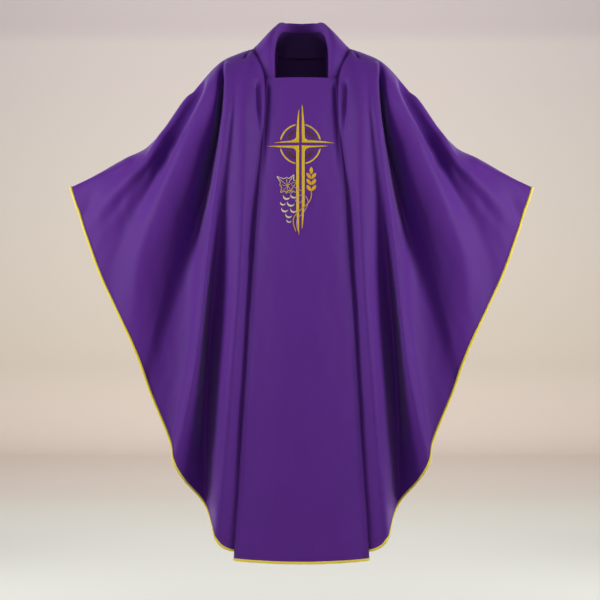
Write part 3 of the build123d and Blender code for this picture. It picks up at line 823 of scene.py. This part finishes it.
def embroidery():
    dice = np.random.default_rng(7)
    quarters = (0, 90, 180, 270)
    pieces = []

    def add(*facts, **more):
        piece, heights = embroidered(*facts, **more)
        pieces.append(piece)
        return piece, heights

    add("cross_stitches", "gold_thread", [GOLD], [cross_stroke(*key) for key in CROSS_ARMS],
        "cross_embroidery", arch=0.0013)
    add("halo_stitches", "gold_thread", [GOLD],
        [ring_part(HALO_RADIUS, HALO_WIDTH, quarter, HALO_CLEAR) for quarter in quarters],
        "halo_ring_embroidery")
    add("halo_shading_stitches", "rust_thread", [RUST],
        [ring_scribble(SHADE_RADIUS, SHADE_WIDTH, quarter, SHADE_CLEAR, dice) for quarter in quarters],
        "halo_shading_embroidery", arch=0.0003, radius=0.00042)
    add("grape_stitches", "cream_thread", [CREAM],
        [grape(x, z, size) for (x, z), size in zip(GRAPES, GRAPE_SIZES)], "grape_embroidery")
    ears = [grain(EAR[0], EAR[1] - GRAIN_LENGTH, 0)]
    for foot in GRAIN_FEET:
        ears += [grain(EAR[0] + 0.0006, foot, GRAIN_LEAN), grain(EAR[0] - 0.0006, foot, -GRAIN_LEAN)]
    add("wheat_ear_stitches", "amber_thread", [AMBER], ears, "wheat_ear_embroidery", arch=0.0011)
    add("wheat_stalk_stitches", "gold_thread", [STALK_MATERIAL], [satin_line(STALK, STALK_WIDTH)],
        "wheat_stem_embroidery", lift=0.0008)
    add("tendril_stitches", "lilac_thread", [LILAC],
        [satin_line(line, TENDRIL_WIDTH, taper=0.1) for line in TENDRILS],
        "vine_tendril_embroidery", arch=0.0006, lift=0.0008)
    leaf_lines = [satin_line(leaf_edge(), LEAF_EDGE_WIDTH, closed=True),
                  satin_line(CURL, CURL_WIDTH, taper=0.2)]
    leaf_lines += [satin_line(leaf_vein(*tip), VEIN_WIDTH, taper=0.15) for tip in LEAF_TIPS]
    leaf, heights = add("leaf_stitches", "cream_thread", [CREAM, OLD_GOLD], leaf_lines,
                        "vine_leaf_embroidery", arch=0.0007)
    golden = (heights + dice.uniform(-0.006, 0.006, len(heights)) < LEAF_FADE).astype(np.int32)
    sides = len(STITCH_STEPS) * 4 - 4
    leaf.data.polygons.foreach_set("material_index", np.concatenate([np.repeat(golden, sides), golden,
                                                                     golden]))
    return pieces


# ---- putting it together ------------------------------------------------------------------------
for face, word, top in FACES:
    for side, hand in SIDES:
        wing_pieces(side, hand, face, word)
front_panel, front_trim = panel_pieces(-1, "front", PANEL_TOP)
back_panel, back_trim = panel_pieces(1, "back", BACK_PANEL_TOP)
front_trim + embroidery()

across = np.linspace(-1, 1, 241)
points = collar_grid(across, np.linspace(0, 1, 81))
collar = cloth_object("collar_cloth", points, points * (1, 1, 0))
finish_piece(collar, "violet_cloth", [VIOLET, LINING], "collar_outer")
normals = outward_from_neck(points)
rows = []
stitch_row(rows, points[3:-3, 3], normals[3:-3, 3])
stitch_row(rows, points[3:-3, -4], normals[3:-3, -4])
collar_stitches = stitching_object("collar_stitches", rows)

points = facing_grid(across, np.linspace(0, 1, 41))
facing = cloth_object("collar_facing_cloth", points, -points * (1, 1, 0), TRIM)
finish_piece(facing, "violet_lining", [LINING], "collar_facing")

points = collar_grid(across[12:-12], np.linspace(0.08, 0.5, 31), CLOTH / 2 + TRIM / 2 + GAP)
stiffener = cloth_object("collar_interlining_felt", points, points * (1, 1, 0), TRIM)
finish_piece(stiffener, "interlining", [INTERLINING], "collar_interlining")

inside = CLOTH / 2 + TRIM / 2 + GAP
points = behind_panel_grid(np.linspace(-0.9, 0.9, 61), np.linspace(0.001, 0.04, 9), inside)
neck_facing = cloth_object("neck_facing_cloth", points, facing_way(points, (0, 1, 0)), TRIM)
finish_piece(neck_facing, "violet_lining", [LINING], "front_neck_facing")

points = behind_panel_grid(np.linspace(-0.86, 0.86, 61), np.linspace(0.05, 0.35, 61), inside)
backing = cloth_object("embroidery_backing_felt", points, facing_way(points, (0, 1, 0)), TRIM)
finish_piece(backing, "interlining", [INTERLINING], "embroidery_backing")

for side, hand in SIDES:
    points = tape_grid(np.linspace(0, 1, 121), np.linspace(0, 1, 9), side)
    tape = cloth_object(f"{hand}_seam_tape", points, facing_way(points, (0, 0, 1)), TRIM)
    finish_piece(tape, "seam_tape", [TAPE], f"{hand}_shoulder_tape")


# ---- camera, light and stage ----------------------------------------------------------------------
CAMERA_HEIGHT = -0.635
CAMERA_DISTANCE = 5.0
LENS = 118.0
FLOOR = -1.70
WALL = 9.0                # the backdrop stands beyond every view of the garment
SWEEP_RADIUS = 0.6

camera_data = bpy.data.cameras.new("camera")
camera_data.lens = LENS
camera_data.sensor_width = 36.0
camera = bpy.data.objects.new("camera", camera_data)
camera.location = (-0.0038, -CAMERA_DISTANCE, CAMERA_HEIGHT)
camera.rotation_euler = (math.pi / 2, 0, 0)
bpy.context.scene.collection.objects.link(camera)
bpy.context.scene.camera = camera


def area_light(name, place, target, size, power):
    data = bpy.data.lights.new(name, "AREA")
    data.shape = "RECTANGLE"
    data.size, data.size_y = size
    data.energy = power
    lamp = bpy.data.objects.new(name, data)
    lamp.location = place
    aim = np.subtract(target, place)
    yaw = math.atan2(aim[0], -aim[1])
    pitch = math.atan2(-aim[2], math.hypot(aim[0], aim[1]))
    lamp.rotation_euler = (math.pi / 2 - pitch, 0, yaw + math.pi)
    lamp.visible_camera = False
    bpy.context.scene.collection.objects.link(lamp)


area_light("left_softbox", (-2.2, -1.05, 0.1), (-0.15, -0.05, 0.7), (0.8, 0.9), 43)
area_light("right_softbox", (2.2, -1.05, 0.1), (0.15, -0.05, 0.7), (0.8, 0.9), 43)
area_light("front_fill", (0, -2.6, 1.5), (0, 0, -0.1), (1.6, 0.8), 9)
area_light("left_back_softbox", (-2.3, 2.2, 0.1), (0, 0.1, -0.45), (0.8, 0.9), 30)
area_light("right_back_softbox", (2.3, 2.2, 0.1), (0, 0.1, -0.45), (0.8, 0.9), 30)
area_light("wall_wash", (0, 5.0, 3.2), (0, WALL, -0.5), (7.0, 1.0), 370)
area_light("floor_wash", (0, 4.0, 2.6), (0, 4.4, FLOOR), (7.0, 0.8), 75)

world = bpy.data.worlds.new("studio")
world.use_nodes = True
world.node_tree.nodes["Background"].inputs["Color"].default_value = (1.0, 0.96, 0.92, 1)
world.node_tree.nodes["Background"].inputs["Strength"].default_value = 0.10
bpy.context.scene.world = world
bpy.context.scene.view_settings.view_transform = "Standard"


def stage_object():
    """Floor and backdrop in one sweep far behind the garment, with painted light and shade in soft
    bands.
    """
    profile = [(-14.0, FLOOR), (-6.0, FLOOR), (0.0, FLOOR), (WALL - SWEEP_RADIUS, FLOOR)]
    profile += [(WALL - SWEEP_RADIUS + SWEEP_RADIUS * math.sin(a),
                 FLOOR + SWEEP_RADIUS * (1 - math.cos(a))) for a in np.linspace(0.1, math.pi / 2, 14)]
    profile += [(WALL, 7.0)]
    xs = (-12.0, 12.0)
    verts = np.array([(x, y, z) for y, z in profile for x in xs])
    faces = [(2 * i, 2 * i + 1, 2 * i + 3, 2 * i + 2) for i in range(len(profile) - 1)]
    stage = new_object("backdrop", verts, faces)
    material, tree, shader = nodes_of("backdrop_paper")
    shader.inputs["Roughness"].default_value = 0.95
    shader.inputs["Specular IOR Level"].default_value = 0.1
    coordinates = tree.nodes.new("ShaderNodeTexCoord")
    split = tree.nodes.new("ShaderNodeSeparateXYZ")
    tree.links.new(coordinates.outputs["Object"], split.inputs["Vector"])
    # The painted bands shift with depth, so the floor darkens towards the backdrop as painted shade.
    shade_shift_by_depth = math_node(tree, "MULTIPLY", split.outputs["Y"], 0.1)
    spread = tree.nodes.new("ShaderNodeMapRange")
    spread.inputs["From Min"].default_value = FLOOR
    spread.inputs["From Max"].default_value = FLOOR + 4.0
    tree.links.new(math_node(tree, "ADD", split.outputs["Z"], shade_shift_by_depth), spread.inputs["Value"])
    ramp = tree.nodes.new("ShaderNodeValToRGB")
    ramp.color_ramp.interpolation = "B_SPLINE"
    # Painted shade: the paper is made darker in a band where the floor meets the backdrop and towards
    # the top, and paler between, as the light would fall.
    painted_shade_bands = [(0.05, (0.85, 0.85, 0.80)), (0.10, (0.60, 0.60, 0.55)), (0.15, (0.40, 0.35, 0.30)),
             (0.25, (0.60, 0.50, 0.45)), (0.45, (0.70, 0.65, 0.55)), (0.95, (0.40, 0.35, 0.35))]
    while len(ramp.color_ramp.elements) < len(painted_shade_bands):
        ramp.color_ramp.elements.new(0.5)
    for element, (place, color) in zip(ramp.color_ramp.elements, painted_shade_bands):
        element.position = place
        element.color = (*color, 1)
    tree.links.new(spread.outputs["Result"], ramp.inputs["Fac"])
    tree.links.new(ramp.outputs["Color"], shader.inputs["Base Color"])
    stage.data.materials.append(material)


stage_object()
